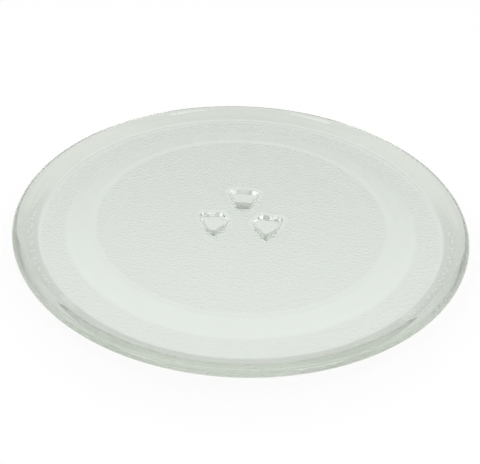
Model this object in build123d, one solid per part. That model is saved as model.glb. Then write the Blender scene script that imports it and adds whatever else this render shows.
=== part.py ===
from build123d import *
import os

# Microwave turntable plate: one piece of pressed clear glass, right side up.
# Millimetres, +Z up, origin on the turning axis in the plane of the lugs' free faces.

# Overall round form
plate_diameter = 245.0
floor_thickness = 5.0
foot_inset = 9.0

# Rim: a wall that climbs from the floor, then a flatter lip out to the edge
rim_width = 12.4
rim_rise = 5.5
wall_width = 5.6
wall_rise = 3.8
crest_width = 2.2
lip_height = 3.2

# Rounds of the pressed section
crease_radius = 1.0
shoulder_radius = 6.0
lip_top_radius = 1.5
lip_edge_radius = 2.4
foot_radius = 14.0

# Track on the underside where the roller ring's wheels run
track_diameter = 177.0
track_width = 14.0
track_depth = 0.12
track_edge_width = 2.5

# Drive lugs on the underside
lug_count = 3
lug_first_angle = 90.0
lug_height = 6.4
lug_inner_radius = 10.0
lug_outer_radius = 23.8
lug_inner_width = 9.6
lug_outer_width = 21.0
lug_draft = 14.0
lug_corner_radius = 2.3
lug_tip_chamfer = 0.25
lug_root_fillet = 1.4

# Levels and radii that follow from the sizes above
plate_radius = plate_diameter / 2
floor_radius = plate_radius - rim_width
foot_edge_radius = plate_radius - foot_inset
track_inner_radius = (track_diameter - track_width) / 2
track_outer_radius = (track_diameter + track_width) / 2
underside_z = lug_height
track_z = underside_z + track_depth
floor_z = underside_z + floor_thickness
crest_z = floor_z + rim_rise


def plate_section():
    """Half section of the dish: along the underside, round the rim and back over the floor."""
    corners = [
        ((track_inner_radius, underside_z), 0),
        ((track_inner_radius + track_edge_width, track_z), 0),
        ((track_outer_radius - track_edge_width, track_z), 0),
        ((track_outer_radius, underside_z), 0),
        ((foot_edge_radius, underside_z), foot_radius),
        ((plate_radius, crest_z - lip_height), lip_edge_radius),
        ((plate_radius, crest_z), lip_top_radius),
        ((plate_radius - crest_width, crest_z), lip_top_radius),
        ((floor_radius + wall_width, floor_z + wall_rise), shoulder_radius),
        ((floor_radius, floor_z), crease_radius),
    ]
    points = [(0, underside_z)] + [point for point, _ in corners] + [(0, floor_z)]
    with BuildSketch(Plane.XZ) as section:
        with BuildLine():
            FilletPolyline(*points, radius=[radius for _, radius in corners])
            Line(points[-1], points[0])
        make_face()
    return section.sketch


def lug_outline():
    """Root outline of a lug along +X: a wedge with a flat inner end and an outer arc about the plate's axis."""
    with BuildSketch() as outline:
        Polygon(
            (lug_inner_radius, lug_inner_width / 2),
            (lug_inner_radius, -lug_inner_width / 2),
            (lug_outer_radius, -lug_outer_width / 2),
            (lug_outer_radius, lug_outer_width / 2),
            align=None,
        )
        Circle(lug_outer_radius, mode=Mode.INTERSECT)
        fillet(outline.vertices(), lug_corner_radius)
    return outline.sketch


def lug():
    """One drafted lug along +X, hanging from the underside with its free edge broken."""
    with BuildPart(Plane.XY.offset(underside_z)) as body:
        add(lug_outline())
        extrude(amount=-lug_height, taper=lug_draft)
        free_face = body.faces().sort_by(Axis.Z)[0]
        chamfer(free_face.edges(), lug_tip_chamfer)
    return body.part


def turntable_plate():
    """The dish with its lugs blended into the underside as one solid."""
    with BuildPart() as plate:
        add(plate_section())
        revolve(axis=Axis.Z)
        with PolarLocations(0, lug_count, start_angle=lug_first_angle):
            add(lug())
        hub_face = plate.faces().sort_by_distance((0, 0, underside_z))[0]
        roots = [edge for wire in hub_face.inner_wires() for edge in wire.edges()]
        fillet(roots, lug_root_fillet)
    return plate.part


os.makedirs("parts", exist_ok=True)
export_step(turntable_plate(), "parts/turntable_plate.step")
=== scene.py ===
import math

import bmesh
import bpy
from bpy.props import FloatProperty, FloatVectorProperty, IntProperty, PointerProperty
from bpy.types import Operator, Panel, PropertyGroup
from mathutils import Matrix, Vector
from mathutils.geometry import delaunay_2d_cdt


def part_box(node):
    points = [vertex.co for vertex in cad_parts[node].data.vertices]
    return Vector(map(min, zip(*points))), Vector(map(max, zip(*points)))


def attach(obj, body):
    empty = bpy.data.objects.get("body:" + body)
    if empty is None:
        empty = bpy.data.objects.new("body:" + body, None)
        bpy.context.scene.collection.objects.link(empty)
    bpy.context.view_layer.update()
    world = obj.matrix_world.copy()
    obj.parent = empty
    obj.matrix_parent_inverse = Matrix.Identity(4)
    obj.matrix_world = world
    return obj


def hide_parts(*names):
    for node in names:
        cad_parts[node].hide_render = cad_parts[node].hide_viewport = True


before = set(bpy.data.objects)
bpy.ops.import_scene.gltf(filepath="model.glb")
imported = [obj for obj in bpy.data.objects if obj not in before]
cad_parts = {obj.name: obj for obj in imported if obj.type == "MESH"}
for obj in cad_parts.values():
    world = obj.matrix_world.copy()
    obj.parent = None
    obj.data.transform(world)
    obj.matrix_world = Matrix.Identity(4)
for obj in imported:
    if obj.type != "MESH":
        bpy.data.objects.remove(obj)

bl_info = {
    "name": "Glass Turntable Plate",
    "version": (1, 0, 0),
    "blender": (4, 5, 0),
    "location": "View3D > Sidebar > Turntable Plate",
    "description": "Presses a clear glass turntable plate and lays it on a pale studio floor",
    "category": "Add Mesh",
}

NODE = "turntable_plate"

# Reach and crest of the plate in millimetres, a hair inside the box of the solid
WITHIN = 0.001
PLATE_LOW, PLATE_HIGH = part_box(NODE)
REACH = 1000 * min(-PLATE_LOW[0], -PLATE_LOW[1], PLATE_HIGH[0], PLATE_HIGH[1]) - WITHIN
CREST = 1000 * PLATE_HIGH[2] - WITHIN

# The underside repeats in thirds, each with a lug in its middle, the first on +Y
LUG_COUNT = 3
THIRD_START = math.radians(30)
THIRD_TURN = math.tau / LUG_COUNT

# Fineness of the mesh: largest turn of a chord in the section, and steps along a lug's outline
CHORD_TURN = math.radians(11)
CORNER_STEPS = 8
OUTER_STEPS = 24
SIDE_STEPS = 14
INNER_STEPS = 8

# Form of the stipple's pebbles and grain, and the middle height of the pebbles
PEBBLE_SMOOTHNESS = 0.7
PEBBLE_MIDDLE = 0.4
GRAIN_SMOOTHNESS = 0.5

# Painted glints, as bright dots on the rim: sines of the turns from the side at which their arcs end and
# are full, edge and core of a dot as shares of their spacing, its scatter, and the height over which they
# appear
GLINT_REAR_END = 0.15
GLINT_REAR_FULL = -0.25
GLINT_FRONT_FULL = -0.6
GLINT_FRONT_END = -0.85
GLINT_EDGE = 0.27
GLINT_CORE = 0.17
GLINT_SCATTER = 0.6
GLINT_LIFT = 0.0004


# Properties

def length(name, description, millimetres):
    """A length property whose default is given in millimetres."""
    return FloatProperty(
        name=name,
        description=description,
        default=millimetres / 1000,
        min=0.0,
        precision=5,
        subtype="DISTANCE",
        unit="LENGTH",
    )


def angle(name, description, degrees):
    """An angle property whose default is given in degrees."""
    return FloatProperty(
        name=name,
        description=description,
        default=math.radians(degrees),
        subtype="ANGLE",
        unit="ROTATION",
    )


def colour(name, description, value):
    """A linear colour property."""
    return FloatVectorProperty(
        name=name, description=description, default=value, size=3, min=0.0, max=1.0, subtype="COLOR"
    )


def number(name, description, value, low=0.0):
    """A plain number property."""
    return FloatProperty(name=name, description=description, default=value, min=low, precision=4)


def share(name, description, value):
    """A property between 0 and 1."""
    return FloatProperty(
        name=name, description=description, default=value, min=0.0, max=1.0, subtype="FACTOR"
    )


class PlateSizes(PropertyGroup):
    """Section of the dish, and the track pressed into its underside."""

    plate_radius: length("Radius", "Axis to the outer edge", REACH)
    crest_level: length("Crest level", "Top of the lip above the floor it lies on", CREST)
    floor_thickness: length("Floor thickness", "Glass under the dish", 5.0)
    foot_inset: length("Foot inset", "Outer edge to the corner of the underside", 9.0)
    rim_width: length("Rim width", "Outer edge to the crease at the floor", 12.4)
    rim_rise: length("Rim rise", "Floor to the top of the lip", 5.5)
    wall_width: length("Wall width", "Crease to the shoulder of the rim", 5.6)
    wall_rise: length("Wall rise", "Floor to the shoulder of the rim", 3.8)
    crest_width: length("Crest width", "Outer edge to the inner end of the crest", 2.2)
    lip_height: length("Lip height", "Height of the outer edge", 3.2)
    crease_radius: length("Crease round", "Round between floor and wall", 1.0)
    shoulder_radius: length("Shoulder round", "Round between wall and lip", 6.0)
    lip_top_radius: length("Lip round", "Rounds at the top of the lip", 1.5)
    lip_edge_radius: length("Edge round", "Round at the lower outer edge", 2.4)
    foot_radius: length("Foot round", "Round at the corner of the underside", 14.0)
    track_radius: length("Track radius", "Axis to the middle of the roller track", 88.5)
    track_width: length("Track width", "Width of the roller track", 14.0)
    track_depth: length("Track depth", "Depth of the roller track", 0.12)
    track_edge: length("Track edge", "Width of the slopes at the sides of the roller track", 2.5)


class LugSizes(PropertyGroup):
    """The wedge-shaped drive lugs round the hub."""

    height: length("Height", "Underside to the free face", 6.4 - 2 * WITHIN)
    inner_radius: length("Inner radius", "Axis to the flat inner end at the root", 10.0)
    outer_radius: length("Outer radius", "Axis to the outer end at the root", 23.8)
    inner_width: length("Inner width", "Width of the flat inner end at the root", 9.6)
    outer_width: length("Outer width", "Width that the sides reach at the outer radius", 21.0)
    draft: angle("Draft", "Slope of the walls", 14.0)
    corner_radius: length("Corner round", "Upright edges at the root", 2.3)
    tip_round: length("Tip round", "Edge of the free face", 0.25)
    root_fillet: length("Root fillet", "Blend into the underside", 1.4)


class StippleSizes(PropertyGroup):
    """The pebbled texture pressed into the underside."""

    mesh_pitch: length("Mesh pitch", "Spacing of the underside's mesh", 0.95)
    hub_reach: length("Hub reach", "Axis to the end of the mesh that fits round the lugs", 29.0)
    cell: length("Cell", "Width of one pebble", 2.4)
    depth: length("Depth", "Height of the pebbles", 0.03)
    margin: length("Margin", "Width over which the stipple fades at its borders", 2.2)
    seed: IntProperty(name="Seed", description="Chooses the scatter of the pebbles", default=7, min=0)


class GlassLook(PropertyGroup):
    """Colour and finish of the glass, with painted shade and painted glints in the colour."""

    colour: colour("Colour", "Colour of the dish", (0.77, 0.81, 0.771))
    # Painted shade: the dish is darker over the stipple, so the smooth track reads brighter
    field_colour: colour("Field colour", "Colour of the dish over the stipple", (0.705, 0.742, 0.701))
    # Painted shade: the rim gets a darker colour from the crease outwards, standing in for the shade seen
    # through it
    rim_colour: colour("Rim colour", "Colour of the thicker rim", (0.674, 0.706, 0.658))
    rim_shade_start: length("Rim start", "Crease to where the rim's colour begins", 0.2)
    rim_shade_full: length("Rim full", "Crease to where the rim's colour is full", 1.0)
    # Painted shade: the lugs' steep walls get a darker colour
    wall_colour: colour("Wall colour", "Colour of the lugs' steep walls", (0.69, 0.705, 0.668))
    # Painted glints: white dots in the glass's colour on the rim's wall
    speck_colour: colour("Speck colour", "Colour of the bright dots on the rim's wall", (1.0, 1.0, 1.0))
    glint_pitch: length("Speck pitch", "Spacing of the bright dots", 2.6)
    glint_start: length("Speck start", "Crease to where the dots begin", 1.8)
    glint_full: length("Speck full", "Crease to where the dots are full", 3.0)
    glint_fall: length("Speck fall", "Crease to where the dots begin to fade", 4.0)
    glint_end: length("Speck end", "Crease to where the dots end", 5.4)
    absorbed: colour("Tint", "What deep glass lets through", (0.78, 0.85, 0.74))
    density: number("Tint density", "Strength of the tint", 2.2)
    grain: length("Grain", "Width of the finest grain of the stipple", 1.6)
    grain_depth: length("Grain depth", "Depth of the finest grain of the stipple", 0.12)
    haze: share("Haze", "Roughness of the stippled glass", 0.05)
    ior: number("Refraction", "Index of refraction", 1.52, low=1.0)


class StageLook(PropertyGroup):
    """Floor, light and camera."""

    floor_half: length("Floor half width", "Half the width of the floor", 3000.0)
    floor_drop: length("Floor drop", "Gap between the lugs and the floor", 0.05)
    floor_colour: colour("Floor", "Colour of the pale floor", (0.95, 0.95, 0.945))
    floor_white: number("Floor white", "Strength of the floor's own white", 1.0)
    floor_share: share("Floor share", "Share of its own white in what is seen of the floor", 0.82)

    side_light: number("Side light", "Light from the pale walls at the sides", 1.36)
    front_light: number("Front light", "Light from the near side", 0.3)
    front_start: angle("Front start", "Turn from the far side at which the near side begins to dim", 90.0)
    front_turn: angle("Front turn", "Turn from the far side at which the near side is dim", 113.578)
    rear_light: number("Rear light", "Light from the far wall", 0.4)
    rear_low: number("Rear low", "Light from the foot of the far wall", 0.42)
    rear_foot: angle("Rear foot", "Angle above the floor at which the far wall begins to dim", 10.0)
    rear_edge: angle("Rear edge", "Angle above the floor from which the far wall is dim", 21.0)
    rear_turn: angle("Rear turn", "Turn from the far side up to which the far wall is dim", 20.0)
    rear_end: angle("Rear end", "Turn from the far side at which the far wall ends", 34.0)
    ceiling: number("Ceiling", "Light from the ceiling", 1.36)
    ceiling_edge: angle("Ceiling edge", "Angle above the floor at which the far ceiling begins", 27.0)
    ceiling_full: angle("Ceiling full", "Angle above the floor from which the far ceiling is full", 48.0)
    front_edge: angle("Front edge", "Angle above the floor at which the near ceiling begins", 49.0)
    front_full: angle("Front full", "Angle above the floor from which the near ceiling is full", 58.0)
    zenith: number("Zenith", "Light from straight above", 0.72)
    zenith_edge: angle("Zenith edge", "Angle above the floor at which the ceiling begins to dim", 60.0)

    lamp_glow: number("Lamps", "Brightness of the two lamps beside the camera", 3.2)
    lamp_width: length("Lamp width", "Width of each square lamp", 700.0)
    lamp_reach: length("Lamp distance", "Lamp to the plate's middle", 2200.0)
    lamp_height: angle("Lamp height", "Angle of the lamps above the floor", 40.0)
    lamp_swing: angle("Lamp swing", "Turn of the lamps to either side of the front", 41.0)
    bounces: IntProperty(
        name="Bounces", description="Turns that light may take inside the glass", default=32, min=4
    )

    camera_distance: length("Camera distance", "Lens to the plate's middle", 349.1)
    camera_height: angle("Camera height", "Angle of the view above the floor", 34.07)
    camera_swing: angle("Camera swing", "Turn of the camera about the plate's axis", 2.8)
    camera_roll: angle("Camera roll", "Tilt of the picture", 2.2235)
    camera_start: length("Camera start", "Lens to the nearest thing that shows", 10.0)
    focal_widths: number("Focal length", "Focal length in picture widths", 1.3002)
    aim_drop: length("Aim drop", "Top of the lip to the level that the camera looks at", 1.5)
    shift_x: number("Shift X", "Sideways shift of the frame", -0.00454, low=-1.0)
    shift_y: number("Shift Y", "Upward shift of the frame", -0.0613, low=-1.0)


# Node trees from expressions

class Value:
    """An output socket; arithmetic on it adds Math nodes to its tree."""

    def __init__(self, graph, socket):
        self.graph = graph
        self.socket = socket

    def math(self, operation, *others):
        """Result of a Math node on this value and others."""
        values = dict(enumerate((self,) + others))
        return self.graph.node("ShaderNodeMath", {"operation": operation}, values)[0]

    def __add__(self, other):
        return self.math("ADD", other)

    __radd__ = __add__

    def __sub__(self, other):
        return self.math("SUBTRACT", other)

    def __rsub__(self, other):
        return (self * -1) + other

    def __mul__(self, other):
        return self.math("MULTIPLY", other)

    __rmul__ = __mul__

    def __truediv__(self, other):
        return self.math("DIVIDE", other)

    def __rtruediv__(self, other):
        return (self ** -1) * other

    def __pow__(self, other):
        return self.math("POWER", other)


class Node:
    """A node whose outputs are taken by name or place as values."""

    def __init__(self, graph, node):
        self.graph = graph
        self.node = node

    def __getitem__(self, output):
        return Value(self.graph, self.node.outputs[output])


class Graph:
    """A node tree that is filled by calls."""

    def __init__(self, tree):
        self.tree = tree
        tree.nodes.clear()

    def node(self, kind, settings=None, inputs=None):
        """Adds a node, sets it up, then fills or links its inputs."""
        node = self.tree.nodes.new(kind)
        for name, value in (settings or {}).items():
            setattr(node, name, value)
        for key, value in (inputs or {}).items():
            if isinstance(value, Node):
                value = value[0]
            if isinstance(value, Value):
                self.tree.links.new(value.socket, node.inputs[key])
            else:
                node.inputs[key].default_value = value
        return Node(self, node)

    def ramp(self, value, start, end):
        """Soft ramp from 0 where the value is at the start to 1 where it is at the end."""
        return self.node("ShaderNodeMapRange", {"interpolation_type": "SMOOTHSTEP"}, {
            "Value": value, "From Min": start, "From Max": end})[0]

    def mix(self, part, first, second):
        """Colour that goes from the first to the second as the part goes from 0 to 1."""
        ends = [end if isinstance(end, Value) else (*end, 1.0) for end in (first, second)]
        return self.node("ShaderNodeMix", {"data_type": "RGBA"}, {0: part, 6: ends[0], 7: ends[1]})[2]


def between(part, first, second):
    """Number that goes from the first to the second as the part goes from 0 to 1."""
    return first + part * (second - first)


# Section of the dish

def rounded_path(corners):
    """Points along a path of (x, z, radius) corners, with each round as chords of an arc."""
    places = [Vector(corner[:2]) for corner in corners]
    path = [places[0]]
    for before, here, after, corner in zip(places, places[1:], places[2:], corners[1:]):
        into = (here - before).normalized()
        away = (after - here).normalized()
        turn = math.atan2(into.cross(away), into.dot(away))
        radius = corner[2]
        start = here - into * radius * math.tan(abs(turn) / 2)
        centre = start + Vector((-into.y, into.x)) * math.copysign(radius, turn)
        chords = math.ceil(abs(turn) / CHORD_TURN) if radius else 0
        for step in range(chords + 1):
            swing = Matrix.Rotation(turn * step / max(chords, 1), 2)
            path.append(centre + swing @ (start - centre))
    path.append(places[-1])
    return path


def levels(plate):
    """Heights of the top of the floor, the underside and the roller track."""
    floor = plate.crest_level - plate.rim_rise
    underside = floor - plate.floor_thickness
    return floor, underside, underside + plate.track_depth


def track_edges(plate):
    """Inner and outer radius of the roller track."""
    half = plate.track_width / 2
    return plate.track_radius - half, plate.track_radius + half


def crease_at(plate):
    """Radius of the crease between the floor and the rim's wall."""
    return plate.plate_radius - plate.rim_width


def rim_section(plate):
    """Section from the foot of the underside, round the rim and over the floor to the axis."""
    floor, underside, _ = levels(plate)
    edge = plate.plate_radius
    crease = crease_at(plate)
    corners = [
        (track_edges(plate)[1], underside, 0),
        (edge - plate.foot_inset, underside, plate.foot_radius),
        (edge, plate.crest_level - plate.lip_height, plate.lip_edge_radius),
        (edge, plate.crest_level, plate.lip_top_radius),
        (edge - plate.crest_width, plate.crest_level, plate.lip_top_radius),
        (crease + plate.wall_width, floor + plate.wall_rise, plate.shoulder_radius),
        (crease, floor, plate.crease_radius),
        (crease - plate.crease_radius, floor, 0),
        (0, floor, 0),
    ]
    return rounded_path(corners)[1:]


# Underside, one third at a time

def smooth_step(value):
    """Zero below 0, one above 1 and a soft ramp between."""
    value = min(max(value, 0.0), 1.0)
    return value * value * (3 - 2 * value)


def lug_core(lug):
    """Places and outward directions along the outline that the section of the lug on +Y follows."""
    flare = (lug.outer_width - lug.inner_width) / 2
    along = Vector((flare, lug.outer_radius - lug.inner_radius)).normalized()
    outward = Vector((along.y, -along.x))
    side_start = Vector((lug.inner_width / 2, lug.inner_radius)) - outward * lug.corner_radius

    def arc(start, end, steps):
        """Places on an arc about the axis, each facing outwards."""
        sweep = math.atan2(start.cross(end), start.dot(end))
        spots = [Matrix.Rotation(sweep * i / steps, 2) @ start for i in range(1, steps)]
        return [(spot, spot.normalized()) for spot in spots]

    def line(start, end, steps, facing):
        """Places on a straight side."""
        return [(start.lerp(end, i / steps), facing) for i in range(1, steps)]

    def corner(place, start, end, steps):
        """One place that faces round from one direction to another."""
        sweep = math.atan2(start.cross(end), start.dot(end))
        return [(place, Matrix.Rotation(sweep * i / steps, 2) @ start) for i in range(steps + 1)]

    mirror = Matrix(((-1, 0), (0, 1)))
    lean = side_start.dot(along)
    reach = lug.outer_radius - lug.corner_radius
    right_out = side_start + along * (math.sqrt(lean ** 2 - side_start.length_squared + reach ** 2) - lean)
    right_in = side_start + along * (lug.inner_radius + lug.corner_radius - side_start.y) / along.y
    left_out, left_in = mirror @ right_out, mirror @ right_in
    left_face = mirror @ outward
    inward = Vector((0, -1))
    return (
        corner(right_out, outward, right_out.normalized(), CORNER_STEPS)
        + arc(right_out, left_out, OUTER_STEPS)
        + corner(left_out, left_out.normalized(), left_face, CORNER_STEPS)
        + line(left_out, left_in, SIDE_STEPS, left_face)
        + corner(left_in, left_face, inward, CORNER_STEPS)
        + line(left_in, right_in, INNER_STEPS, inward)
        + corner(right_in, inward, outward, CORNER_STEPS)
        + line(right_in, right_out, SIDE_STEPS, outward)
    )


def lug_section(plate, lug):
    """Section of a lug's wall as (offset from its core, height), from the underside to the free face."""
    underside = levels(plate)[1]
    root = lug.corner_radius
    tip = root - lug.height * math.tan(lug.draft)
    # The free face is filled from just outside the core, where the outline's places are still apart
    rest = lug.tip_round / 20
    corners = [
        (root + 2 * lug.root_fillet, underside, 0),
        (root, underside, lug.root_fillet),
        (tip, underside - lug.height, lug.tip_round),
        (rest, underside - lug.height, 0),
    ]
    return rounded_path(corners)[1:]


def ring_levels(plate, stipple, foot_radius):
    """Radius and height of each ring of the underside, and how many of them lie in the hub."""
    _, underside, track = levels(plate)
    inner, outer = track_edges(plate)
    stops = [
        (stipple.hub_reach, underside),
        (inner, underside),
        (inner + plate.track_edge, track),
        (outer - plate.track_edge, track),
        (outer, underside),
        (foot_radius, underside),
    ]
    rings = [(0.0, underside)]
    hub_rings = 0
    for radius, height in stops:
        start_radius, start_height = rings[-1]
        count = max(1, round((radius - start_radius) / stipple.mesh_pitch))
        for step in range(1, count + 1):
            part = step / count
            rings.append((
                start_radius + (radius - start_radius) * part,
                start_height + (height - start_height) * part,
            ))
        hub_rings = hub_rings or count
    return rings, hub_rings


def third_of_ring(rings, ring):
    """Places of a ring, by its number, over one third of the turn: two more than on the ring inside it."""
    radius, height = rings[ring]
    steps = 2 * ring
    turns = [THIRD_START + THIRD_TURN * i / max(steps, 1) for i in range(steps + 1)]
    return [Vector((radius * math.cos(turn), radius * math.sin(turn), height)) for turn in turns]


def inside(place, outline):
    """True if a flat place lies inside a closed outline."""
    crossings = 0
    for start, end in zip(outline, outline[1:] + outline[:1]):
        if (start.y > place.y) != (end.y > place.y):
            part = (place.y - start.y) / (end.y - start.y)
            if place.x < start.x + part * (end.x - start.x):
                crossings += 1
    return crossings % 2 == 1


def foot_strength(plate, stipple, radius):
    """Strength of the stipple near the foot, where it runs out under the crease of the dish."""
    return smooth_step((crease_at(plate) - radius) / stipple.margin)


class Third:
    """Mesh of one third of the underside about a lug, with the stipple's strength at each place."""

    def __init__(self, plate, lug, stipple, foot_radius):
        self.plate = plate
        self.stipple = stipple
        self.places = []
        self.strengths = []
        # Marks of the lugs' steep walls, where the glass gets painted shade
        self.walls = []
        self.faces = []
        self.rings, self.hub_rings = ring_levels(plate, stipple, foot_radius)
        core = lug_core(lug)
        self.outlines = [
            [(spot + facing * offset).to_3d() + Vector((0, 0, height)) for spot, facing in core]
            for offset, height in lug_section(plate, lug)
        ]
        # A wall counts as steep from a little above the lower end of its root fillet
        self.wall_top = levels(plate)[1] - 0.7 * lug.root_fillet
        self.root = [place.to_2d() for place in self.outlines[0]]
        self.add_rings()
        self.add_hub()
        self.add_lug()

    def strength(self, place):
        """Strength of the stipple: full on the fields, none on the track, the foot and round the lug."""
        margin = self.stipple.margin
        radius = place.to_2d().length
        inner, outer = track_edges(self.plate)
        off_track = smooth_step(max(inner - radius, radius - outer) / margin)
        off_foot = foot_strength(self.plate, self.stipple, radius)
        off_lug = 1.0
        if radius < self.stipple.hub_reach:
            off_lug = smooth_step(min((place.to_2d() - spot).length for spot in self.root) / margin)
        return off_track * off_foot * off_lug

    def add(self, places, flat=False, wall=0.0):
        """Adds places and returns their numbers."""
        first = len(self.places)
        self.places += places
        self.strengths += [0.0 if flat else self.strength(place) for place in places]
        self.walls += [wall] * len(places)
        return list(range(first, len(self.places)))

    def add_rings(self):
        """The rings outside the hub, as two sixths of a hexagonal net."""
        last = self.add(third_of_ring(self.rings, self.hub_rings))
        for ring in range(self.hub_rings, len(self.rings) - 1):
            here = self.add(third_of_ring(self.rings, ring + 1))
            for sixth in range(2):
                near, far = sixth * ring, sixth * (ring + 1)
                self.faces += [
                    (here[far + i], here[far + i + 1], last[near + i]) for i in range(ring + 1)
                ]
                self.faces += [
                    (last[near + i], here[far + i + 1], last[near + i + 1]) for i in range(ring)
                ]
            last = here

    def add_hub(self):
        """The net round the lug, fitted to its root."""
        height = self.rings[0][1]
        # Places nearer to the root than this would leave slivers
        clear = 0.6 * self.stipple.mesh_pitch
        thirds = [third_of_ring(self.rings, ring) for ring in range(self.hub_rings + 1)]
        rows = [[place.to_2d() for place in third] for third in thirds]
        border = [row[0] for row in rows] + rows[-1][1:] + [row[-1] for row in rows[-2:0:-1]]
        fill = [
            place for row in rows[1:-1] for place in row[1:-1]
            if not inside(place, self.root) and min((place - spot).length for spot in self.root) > clear
        ]
        spots = border + self.root + fill
        edges = []
        for first, count in ((0, len(border)), (len(border), len(self.root))):
            edges += [(first + i, first + (i + 1) % count) for i in range(count)]
        net = delaunay_2d_cdt(spots, edges, [], 1, 1e-9)
        numbers = self.add([Vector((spot.x, spot.y, height)) for spot in net[0]])
        for face in net[2]:
            middle = sum((net[0][i] for i in face), Vector((0, 0))) / len(face)
            if not inside(middle, self.root):
                self.faces.append(tuple(numbers[i] for i in face))

    def add_lug(self):
        """The lug's walls, ring by ring, and its free face."""
        rows = []
        for outline in self.outlines:
            steep = outline[0].z < self.wall_top and outline is not self.outlines[-1]
            rows.append(self.add(outline, flat=True, wall=float(steep)))
        count = len(self.root)
        for upper, lower in zip(rows, rows[1:]):
            self.faces += [
                (upper[i], upper[(i + 1) % count], lower[(i + 1) % count], lower[i]) for i in range(count)
            ]
        self.faces.append(tuple(rows[-1]))


# Geometry nodes that turn the section and repeat the third

def pressing_tree(section_places):
    """The tree that revolves the section, repeats the lug's third and presses the stipple."""
    tree = bpy.data.node_groups.new("plate_pressing", "GeometryNodeTree")
    sockets = tree.interface
    sockets.new_socket("Geometry", in_out="INPUT", socket_type="NodeSocketGeometry")
    for name, kind in (
        ("Segments", "NodeSocketInt"),
        ("Thirds", "NodeSocketInt"),
        ("Cell", "NodeSocketFloat"),
        ("Depth", "NodeSocketFloat"),
        ("Seed", "NodeSocketInt"),
        ("Glass", "NodeSocketMaterial"),
    ):
        sockets.new_socket(name, in_out="INPUT", socket_type=kind)
    sockets.new_socket("Geometry", in_out="OUTPUT", socket_type="NodeSocketGeometry")

    graph = Graph(tree)
    given = graph.node("NodeGroupInput")
    on_section = graph.node("GeometryNodeInputNamedAttribute", {"data_type": "FLOAT"}, {"Name": "section"})
    parts = graph.node("GeometryNodeSeparateGeometry", inputs={
        "Geometry": given["Geometry"], "Selection": on_section})

    # The section, carried round the axis by a grid with one row for each of its places
    grid = graph.node("GeometryNodeMeshGrid", inputs={
        "Size X": 1.0, "Size Y": 1.0, "Vertices X": given["Segments"] + 1, "Vertices Y": section_places})
    spot = graph.node("ShaderNodeSeparateXYZ", inputs={0: graph.node("GeometryNodeInputPosition")})
    row = ((spot["Y"] + 0.5) * (section_places - 1)).math("ROUND")
    place = graph.node("GeometryNodeSampleIndex", {"data_type": "FLOAT_VECTOR"}, {
        "Geometry": parts["Selection"], "Value": graph.node("GeometryNodeInputPosition"), "Index": row})
    strength = graph.node("GeometryNodeInputNamedAttribute", {"data_type": "FLOAT"}, {"Name": "stipple"})
    carried = graph.node("GeometryNodeSampleIndex", {"data_type": "FLOAT"}, {
        "Geometry": parts["Selection"], "Value": strength, "Index": row})
    turned = graph.node("ShaderNodeVectorRotate", {"rotation_type": "Z_AXIS"}, {
        "Vector": place, "Angle": (spot["X"] + 0.5) * math.tau + THIRD_START})
    marked = graph.node("GeometryNodeStoreNamedAttribute", {"data_type": "FLOAT", "domain": "POINT"}, {
        "Geometry": grid["Mesh"], "Name": "stipple", "Value": carried})
    rim = graph.node("GeometryNodeSetPosition", inputs={
        "Geometry": marked[0], "Position": turned["Vector"]})

    # The third of the underside, repeated round the axis
    seats = graph.node("GeometryNodePoints", inputs={"Count": given["Thirds"]})
    seat = graph.node("GeometryNodeInputIndex")[0]
    turn = graph.node("ShaderNodeCombineXYZ", inputs={"Z": seat * THIRD_TURN})
    copies = graph.node("GeometryNodeInstanceOnPoints", inputs={
        "Points": seats[0], "Instance": parts["Inverted"], "Rotation": turn})
    underside = graph.node("GeometryNodeRealizeInstances", inputs={"Geometry": copies[0]})

    both = graph.node("GeometryNodeJoinGeometry")
    for piece in (rim, underside):
        tree.links.new(piece[0].socket, both.node.inputs[0])
    whole = graph.node("GeometryNodeMergeByDistance", inputs={"Geometry": both[0], "Distance": 1e-6})

    # The stipple: smooth pebbles of uneven height, from the part of the pattern that the seed picks
    scatter = graph.node("ShaderNodeCombineXYZ", inputs={
        "X": given["Seed"], "Y": given["Seed"] * 0.37})
    moved = graph.node("ShaderNodeVectorMath", {"operation": "ADD"}, {
        0: graph.node("GeometryNodeInputPosition"), 1: scatter})
    pebbles = graph.node("ShaderNodeTexVoronoi", {"voronoi_dimensions": "2D", "feature": "SMOOTH_F1"}, {
        "Vector": moved, "Scale": 1 / given["Cell"], "Smoothness": PEBBLE_SMOOTHNESS, "Randomness": 1.0})
    drop = (pebbles["Distance"] - PEBBLE_MIDDLE) * given["Depth"] * strength[0]
    offset = graph.node("ShaderNodeCombineXYZ", inputs={"Z": drop})
    pressed = graph.node("GeometryNodeSetPosition", inputs={"Geometry": whole[0], "Offset": offset})
    smooth = graph.node("GeometryNodeSetShadeSmooth", inputs={
        "Geometry": pressed[0], "Shade Smooth": True})
    solid = graph.node("GeometryNodeRealizeInstances", inputs={"Geometry": smooth[0]})
    finished = graph.node("GeometryNodeSetMaterial", inputs={
        "Geometry": solid[0], "Material": given["Glass"]})
    graph.node("NodeGroupOutput", inputs={"Geometry": finished[0]})
    return tree


def set_inputs(modifier, **values):
    """Sets a modifier's inputs by the names its tree gives them."""
    for item in modifier.node_group.interface.items_tree:
        if item.in_out == "INPUT" and item.name in values:
            modifier[item.identifier] = values[item.name]


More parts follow.
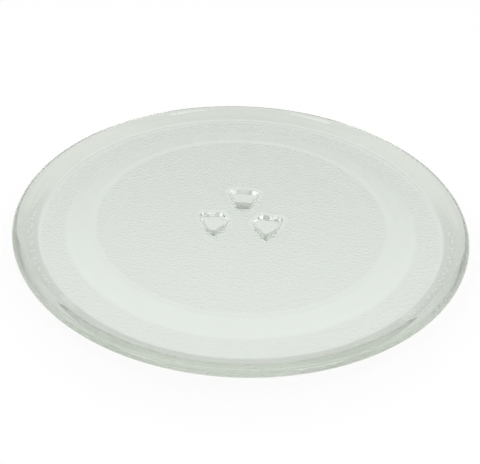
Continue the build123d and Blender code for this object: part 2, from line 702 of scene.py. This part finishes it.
def pressed_mesh(source, tree, **values):
    """Plain mesh of a source mesh after the tree has worked on it."""
    worker = bpy.data.objects.new("plate_blank", source)
    bpy.context.collection.objects.link(worker)
    modifier = worker.modifiers.new("pressing", "NODES")
    modifier.node_group = tree
    set_inputs(modifier, **values)
    seen = worker.evaluated_get(bpy.context.evaluated_depsgraph_get())
    mesh = bpy.data.meshes.new_from_object(seen)
    bpy.data.objects.remove(worker)
    work = bmesh.new()
    work.from_mesh(mesh)
    bmesh.ops.recalc_face_normals(work, faces=work.faces)
    work.to_mesh(mesh)
    work.free()
    return mesh


# Glass

def from_axis(across):
    """Distance of a place from the plate's axis, from its split coordinates."""
    return (across["X"] ** 2 + across["Y"] ** 2) ** 0.5


def painted_rim_glints(graph, look, plate, where):
    """Share of the painted glints: bright dots in two arcs along the foot of the rim's wall, on its upper
    side.
    """
    across = graph.node("ShaderNodeSeparateXYZ", inputs={0: where})
    radius = from_axis(across)
    out = radius - crease_at(plate)
    band = graph.ramp(out, look.glint_start, look.glint_full)
    band = band * graph.ramp(out, look.glint_end, look.glint_fall)
    ahead = across["Y"] / radius
    arcs = graph.ramp(ahead, GLINT_REAR_END, GLINT_REAR_FULL)
    arcs = arcs * graph.ramp(ahead, GLINT_FRONT_END, GLINT_FRONT_FULL)
    floor = levels(plate)[0]
    above = graph.ramp(across["Z"], floor, floor + GLINT_LIFT)
    spots = graph.node("ShaderNodeTexVoronoi", {"voronoi_dimensions": "2D", "feature": "F1"}, {
        "Vector": where, "Scale": 1 / look.glint_pitch, "Randomness": GLINT_SCATTER})["Distance"]
    return band * arcs * above * graph.ramp(spots, GLINT_EDGE, GLINT_CORE)


def clear_glass(look, plate):
    """Clear pressed glass: polished where the mould was smooth, finely rippled on the stipple, with
    painted shade and painted glints in its colour.
    """
    material = bpy.data.materials.new("clear_glass")
    material.use_nodes = True
    graph = Graph(material.node_tree)
    where = graph.node("ShaderNodeTexCoord")["Object"]
    across = graph.node("ShaderNodeSeparateXYZ", inputs={0: where})
    out = from_axis(across) - crease_at(plate)
    stipple = graph.node("ShaderNodeAttribute", {"attribute_name": "stipple"})["Fac"]
    wall = graph.node("ShaderNodeAttribute", {"attribute_name": "wall"})["Fac"]

    # Colour, from the dish over the rim and its dots to the lugs' walls: painted shade over the stipple,
    # on the rim and on the lugs' walls, and painted glints as the rim's bright dots
    # Painted shade: the dish is darker where the stipple is
    dish = graph.mix(stipple, look.colour, look.field_colour)
    # Painted shade on the rim, darker from the crease outwards
    body = graph.mix(graph.ramp(out, look.rim_shade_start, look.rim_shade_full), dish, look.rim_colour)
    # Painted glints: bright dots on two arcs of the rim's wall
    glinted = graph.mix(painted_rim_glints(graph, look, plate, where), body, look.speck_colour)
    # Painted shade on the lugs' steep walls
    colour = graph.mix(wall, glinted, look.wall_colour)

    # Finest grain of the stipple
    grain = graph.node("ShaderNodeTexVoronoi", {"voronoi_dimensions": "2D", "feature": "SMOOTH_F1"}, {
        "Vector": where, "Scale": 1 / look.grain, "Smoothness": GRAIN_SMOOTHNESS})["Distance"]
    bump = graph.node("ShaderNodeBump", inputs={
        "Strength": 1.0, "Distance": look.grain_depth, "Height": grain * stipple})

    glass = graph.node("ShaderNodeBsdfPrincipled", inputs={
        "Base Color": colour,
        "Roughness": stipple * look.haze,
        "Transmission Weight": 1.0,
        "IOR": look.ior,
        "Normal": bump,
    })
    depth = graph.node("ShaderNodeVolumeAbsorption", inputs={
        "Color": (*look.absorbed, 1.0), "Density": look.density})
    graph.node("ShaderNodeOutputMaterial", inputs={"Surface": glass, "Volume": depth})
    return material


class TURNTABLE_OT_press_plate(Operator):
    """Press the glass plate with its rim, roller track, stipple and lugs"""

    bl_idname = "turntable.press_plate"
    bl_label = "Press Plate"
    bl_options = {"REGISTER", "UNDO"}

    def execute(self, context):
        scene = context.scene
        plate, lug, stipple = scene.plate_sizes, scene.lug_sizes, scene.stipple_sizes
        section = rim_section(plate)
        third = Third(plate, lug, stipple, section[0].x)
        blank = bpy.data.meshes.new("plate_blank")
        start = len(third.places)
        floor = levels(plate)[0]
        foot = [foot_strength(plate, stipple, spot.x) if spot.y < floor else 0.0 for spot in section]
        places = third.places + [Vector((spot.x, 0, spot.y)) for spot in section]
        links = [(start + i, start + i + 1) for i in range(len(section) - 1)]
        blank.from_pydata(places, links, third.faces)
        # The wall attribute marks where the glass gets painted shade
        for name, values in (
            ("stipple", third.strengths + foot),
            ("wall", third.walls + [0.0] * len(section)),
            ("section", [0.0] * start + [1.0] * len(section)),
        ):
            blank.attributes.new(name, "FLOAT", "POINT").data.foreach_set("value", values)
        mesh = pressed_mesh(
            blank,
            pressing_tree(len(section)),
            # As many as the outermost ring has places
            Segments=2 * LUG_COUNT * (len(third.rings) - 1),
            Thirds=LUG_COUNT,
            Cell=stipple.cell,
            Depth=stipple.depth,
            Seed=stipple.seed,
            Glass=clear_glass(scene.glass_look, plate),
        )
        piece = bpy.data.objects.new("glass_plate", mesh)
        context.collection.objects.link(piece)
        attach(piece, "root")
        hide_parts(NODE)
        return {"FINISHED"}


# Stage

def floor_finish(look):
    """Matt pale floor that looks white to the camera and through the glass, and keeps a soft shadow."""
    material = bpy.data.materials.new("pale_floor")
    material.use_nodes = True
    graph = Graph(material.node_tree)
    path = graph.node("ShaderNodeLightPath")
    seen = path["Is Camera Ray"]
    for ray in ("Is Glossy Ray", "Is Transmission Ray"):
        seen = seen.math("MAXIMUM", path[ray])
    matt = graph.node("ShaderNodeBsdfDiffuse", inputs={"Color": (*look.floor_colour, 1.0)})
    white = graph.node("ShaderNodeEmission", inputs={
        "Color": (1.0, 1.0, 1.0, 1.0), "Strength": look.floor_white})
    surface = graph.node("ShaderNodeMixShader", inputs={0: seen * look.floor_share, 1: matt, 2: white})
    graph.node("ShaderNodeOutputMaterial", inputs={"Surface": surface})
    return material


def studio_world(look):
    """Soft light from a bright ceiling and pale sides, with a dimmer far wall and near side."""
    world = bpy.data.worlds.new("studio")
    world.use_nodes = True
    graph = Graph(world.node_tree)
    way = graph.node("ShaderNodeSeparateXYZ", inputs={0: graph.node("ShaderNodeTexCoord")["Generated"]})
    height = way["Z"]

    # Cosine of the turn from the far side as the camera sees it, safe straight above too
    ahead = way["Y"] * math.cos(look.camera_swing) - way["X"] * math.sin(look.camera_swing)
    facing = ahead / (way["X"] ** 2 + way["Y"] ** 2 + 1e-6) ** 0.5
    rear = graph.ramp(facing, math.cos(look.rear_end), math.cos(look.rear_turn))
    front = graph.ramp(facing, math.cos(look.front_start), math.cos(look.front_turn))

    # Walls, then the ceiling above them
    dim = graph.ramp(height, math.sin(look.rear_foot), math.sin(look.rear_edge))
    far_wall = between(dim, look.rear_low, look.rear_light)
    walls = between(rear, look.side_light, far_wall) + front * (look.front_light - look.side_light)
    begin = between(front, math.sin(look.ceiling_edge), math.sin(look.front_edge))
    full = between(front, math.sin(look.ceiling_full), math.sin(look.front_full))
    top = graph.ramp(height, math.sin(look.zenith_edge), 1.0)
    overhead = between(top, look.ceiling, look.zenith)
    glow = between(graph.ramp(height, begin, full), walls, overhead)

    light = graph.node("ShaderNodeBackground", inputs={"Color": (1.0, 1.0, 1.0, 1.0), "Strength": glow})
    graph.node("ShaderNodeOutputWorld", inputs={"Surface": light})
    return world


def aim(pointer, target, roll=0.0):
    """Points an object's -Z axis at a target and rolls it about that line."""
    turn = (target - pointer.location).to_track_quat("-Z", "Y").to_matrix()
    pointer.rotation_euler = (turn @ Matrix.Rotation(roll, 3, "Z")).to_euler()


def from_front(swing, height):
    """Direction that rises from the floor and turns from the front towards +X."""
    level = math.cos(height)
    return Vector((level * math.sin(swing), -level * math.cos(swing), math.sin(height)))


def soft_lamp(look, side):
    """One of the two square lamps, on the given side of the camera."""
    data = bpy.data.lights.new("soft_lamp", "AREA")
    data.size = look.lamp_width
    # The power that gives a square lamp of this width its brightness
    data.energy = look.lamp_glow * math.pi * look.lamp_width ** 2
    lamp = bpy.data.objects.new("soft_lamp", data)
    bpy.context.collection.objects.link(lamp)
    lamp.location = from_front(side * look.lamp_swing, look.lamp_height) * look.lamp_reach
    aim(lamp, Vector())
    return lamp


def photo_camera(look, plate):
    """The camera that took the picture."""
    data = bpy.data.cameras.new("photo_camera")
    data.sensor_fit = "HORIZONTAL"
    data.lens = look.focal_widths * data.sensor_width
    data.shift_x, data.shift_y = look.shift_x, look.shift_y
    data.clip_start = look.camera_start
    camera = bpy.data.objects.new("photo_camera", data)
    bpy.context.collection.objects.link(camera)
    target = Vector((0, 0, plate.crest_level - look.aim_drop))
    camera.location = target + from_front(look.camera_swing, look.camera_height) * look.camera_distance
    aim(camera, target, look.camera_roll)
    return camera


class TURNTABLE_OT_set_stage(Operator):
    """Lay the floor, light it softly and set up the camera"""

    bl_idname = "turntable.set_stage"
    bl_label = "Set Stage"
    bl_options = {"REGISTER", "UNDO"}

    def execute(self, context):
        scene = context.scene
        look = scene.stage_look
        half, level = look.floor_half, -look.floor_drop
        signs = ((-1, -1), (1, -1), (1, 1), (-1, 1))
        corners = [(x * half, y * half, level) for x, y in signs]
        mesh = bpy.data.meshes.new("floor")
        mesh.from_pydata(corners, [], [(0, 1, 2, 3)])
        mesh.materials.append(floor_finish(look))
        floor = bpy.data.objects.new("floor", mesh)
        context.collection.objects.link(floor)
        scene.world = studio_world(look)
        for side in (-1, 1):
            soft_lamp(look, side)
        scene.camera = photo_camera(look, scene.plate_sizes)
        scene.view_settings.view_transform = "Standard"
        scene.cycles.blur_glossy = 0.0
        scene.cycles.max_bounces = look.bounces
        scene.cycles.glossy_bounces = look.bounces
        scene.cycles.transmission_bounces = look.bounces
        return {"FINISHED"}


class TURNTABLE_PT_sidebar(Panel):
    """Lists the sizes and the operators"""

    bl_idname = "TURNTABLE_PT_sidebar"
    bl_label = "Turntable Plate"
    bl_space_type = "VIEW_3D"
    bl_region_type = "UI"
    bl_category = "Turntable Plate"

    def draw(self, context):
        layout = self.layout
        for name in GROUPS:
            box = layout.box()
            group = getattr(context.scene, name)
            box.label(text=name.replace("_", " ").capitalize())
            for prop in group.bl_rna.properties:
                if prop.identifier not in {"rna_type", "name"}:
                    box.prop(group, prop.identifier)
        for operator in (TURNTABLE_OT_press_plate, TURNTABLE_OT_set_stage):
            layout.operator(operator.bl_idname)


GROUPS = {
    "plate_sizes": PlateSizes,
    "lug_sizes": LugSizes,
    "stipple_sizes": StippleSizes,
    "glass_look": GlassLook,
    "stage_look": StageLook,
}
CLASSES = (*GROUPS.values(), TURNTABLE_OT_press_plate, TURNTABLE_OT_set_stage, TURNTABLE_PT_sidebar)


def register():
    """Registers the classes and hangs the property groups on the scene."""
    for cls in CLASSES:
        bpy.utils.register_class(cls)
    for name, group in GROUPS.items():
        setattr(bpy.types.Scene, name, PointerProperty(type=group))


def unregister():
    """Takes the property groups and the classes away again."""
    for name in GROUPS:
        delattr(bpy.types.Scene, name)
    for cls in reversed(CLASSES):
        bpy.utils.unregister_class(cls)


def main():
    """Makes the plate and its stage."""
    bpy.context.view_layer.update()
    register()
    bpy.ops.turntable.press_plate()
    bpy.ops.turntable.set_stage()


if __name__ == "__main__":
    main()
